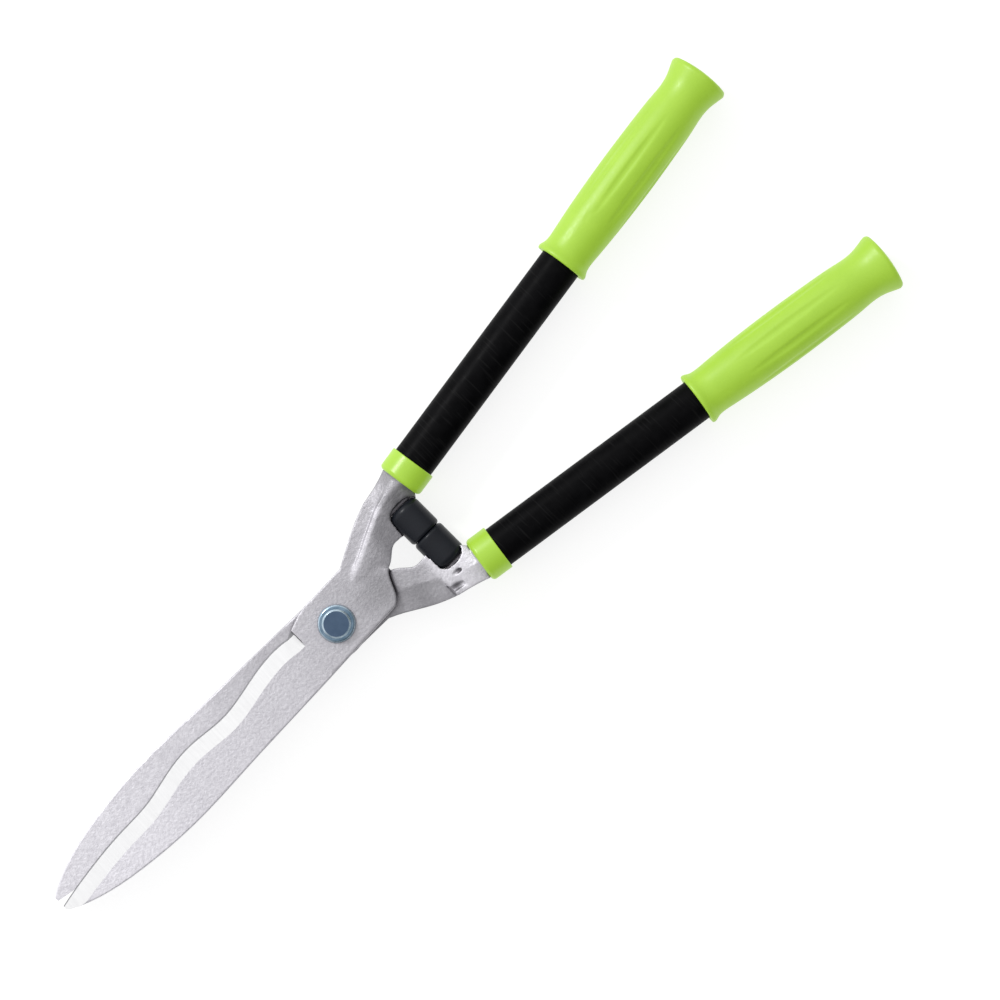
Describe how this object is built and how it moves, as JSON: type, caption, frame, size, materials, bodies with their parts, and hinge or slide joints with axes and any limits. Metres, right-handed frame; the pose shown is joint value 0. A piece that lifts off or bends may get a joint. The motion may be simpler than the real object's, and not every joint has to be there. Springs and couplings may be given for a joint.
{
  "type": "hedge shears",
  "caption": "Two-handed garden shears with long waved blades on one pivot bolt, tubular handles, soft grips and rubber bumpers.",
  "frame": {"origin": "on the pivot axis, at the end face of the pivot bolt, which is in the plane that the shears rest on", "axes": "+X from the pivot towards the blade tips along the centre line of the closed shears, +Z along the pivot axis from the lock nut to the bolt head, +Y towards the back of the front blade"},
  "size_m": [0.6005, 0.1862, 0.0366],
  "materials": {
    "cast_steel": "shot-blasted casting with a bright ground bevel",
    "blue_zinc": "blue passivated zinc plating",
    "plain_steel": "plain drawn steel",
    "black_paint": "black powder coat",
    "collar_plastic": "satin moulded plastic",
    "grip_rubber": "soft satin elastomer",
    "bumper_rubber": "dense moulded rubber",
    "black_plastic": "moulded plastic",
    "white_nylon": "moulded nylon"
  },
  "bodies": {
    "rear_half": {"rear_blade": "cast_steel", "rear_bumper": "bumper_rubber", "rear_bumper_stud": "plain_steel", "rear_collar": "collar_plastic", "rear_tube": "black_paint", "rear_tang_sleeve": "black_plastic", "rear_tang_pin": "plain_steel", "rear_grip": "grip_rubber"},
    "front_half": {"front_blade": "cast_steel", "front_bumper": "bumper_rubber", "front_bumper_stud": "plain_steel", "front_collar": "collar_plastic", "front_tube": "black_paint", "front_tang_sleeve": "black_plastic", "front_tang_pin": "plain_steel", "front_grip": "grip_rubber", "pivot_bolt": "blue_zinc", "head_washer": "blue_zinc", "nut_washer": "blue_zinc", "spring_washer": "blue_zinc", "lock_nut": "blue_zinc", "nut_insert": "white_nylon"}
  },
  "joints": [
    {"name": "blade_pivot", "type": "hinge", "parent": "rear_half", "child": "front_half", "pos_m": [0, 0, 0.0183], "axis": [0, 0, 1], "range_deg": [0, 114]}
  ]
}
